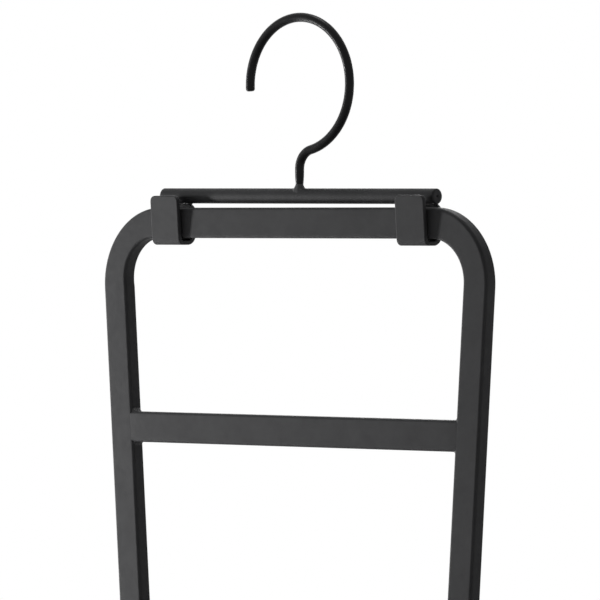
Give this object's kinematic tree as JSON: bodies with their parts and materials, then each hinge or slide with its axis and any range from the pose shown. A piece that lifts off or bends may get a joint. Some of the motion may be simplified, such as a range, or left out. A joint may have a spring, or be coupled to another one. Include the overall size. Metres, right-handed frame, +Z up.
{
  "type": "handbag hanger",
  "caption": "Black steel wardrobe hanger: wire hook welded on a round rod, with folded clips that hold a tapered ladder frame of rectangular tube for handbag straps.",
  "frame": {"origin": "underside of the hook's crown, the line where the hook rests on a rail, in the hook's middle plane", "axes": "+Z up, +X along the rod and the frame's bars to the right as seen from the front, -Y to the front, the side with the clips' free lips"},
  "size_m": [0.268, 0.0162, 0.4412],
  "materials": {
    "black_wire": "matte black powder coat on steel wire and rod",
    "black_sheet": "matte black powder coat on folded steel strip",
    "black_tube": "matte black powder coat on rectangular steel tube"
  },
  "bodies": {
    "hanger": {"hook": "black_wire", "hook_weld": "black_wire", "top_rod": "black_wire", "left_clip": "black_sheet", "left_clip_weld": "black_sheet", "right_clip": "black_sheet", "right_clip_weld": "black_sheet"},
    "frame": {"frame_tube": "black_tube", "frame_seam_weld": "black_tube", "crossbar_1": "black_tube", "crossbar_1_left_weld": "black_tube", "crossbar_1_right_weld": "black_tube", "crossbar_2": "black_tube", "crossbar_2_left_weld": "black_tube", "crossbar_2_right_weld": "black_tube"}
  },
  "joints": [
    {"name": "frame_swing", "type": "hinge", "parent": "hanger", "child": "frame", "pos_m": [0, -0.0014, -0.11075], "axis": [1, 0, 0], "range_deg": [-1, 5]}
  ]
}
